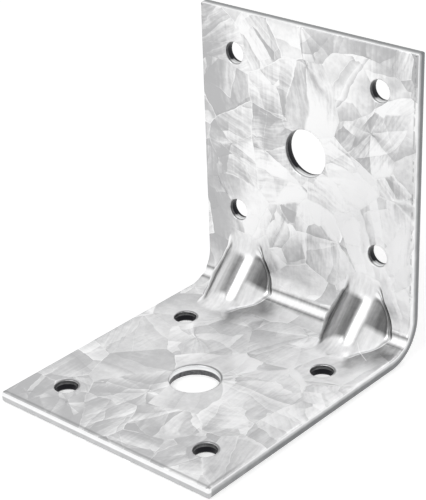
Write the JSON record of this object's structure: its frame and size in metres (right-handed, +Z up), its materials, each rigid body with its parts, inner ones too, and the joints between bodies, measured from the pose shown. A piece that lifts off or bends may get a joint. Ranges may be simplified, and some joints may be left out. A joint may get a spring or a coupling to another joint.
{
  "type": "corner brace bracket",
  "caption": "Right-angle brace bent from one galvanised steel sheet, with two pressed hollow gussets across the bend and bolt and screw holes in each leg.",
  "frame": {"origin": "middle of the bracket's footprint, on the underside of the base leg", "axes": "+Z up along the upright leg, +Y from the base leg's free end towards the back of the upright, X along the bend"},
  "size_m": [0.058, 0.07, 0.07],
  "materials": {
    "zinc_coated_steel": "hot-dip galvanised, large bright zinc spangle over the whole sheet and its edges"
  },
  "bodies": {
    "root": {"bracket": "zinc_coated_steel"}
  },
  "joints": []
}
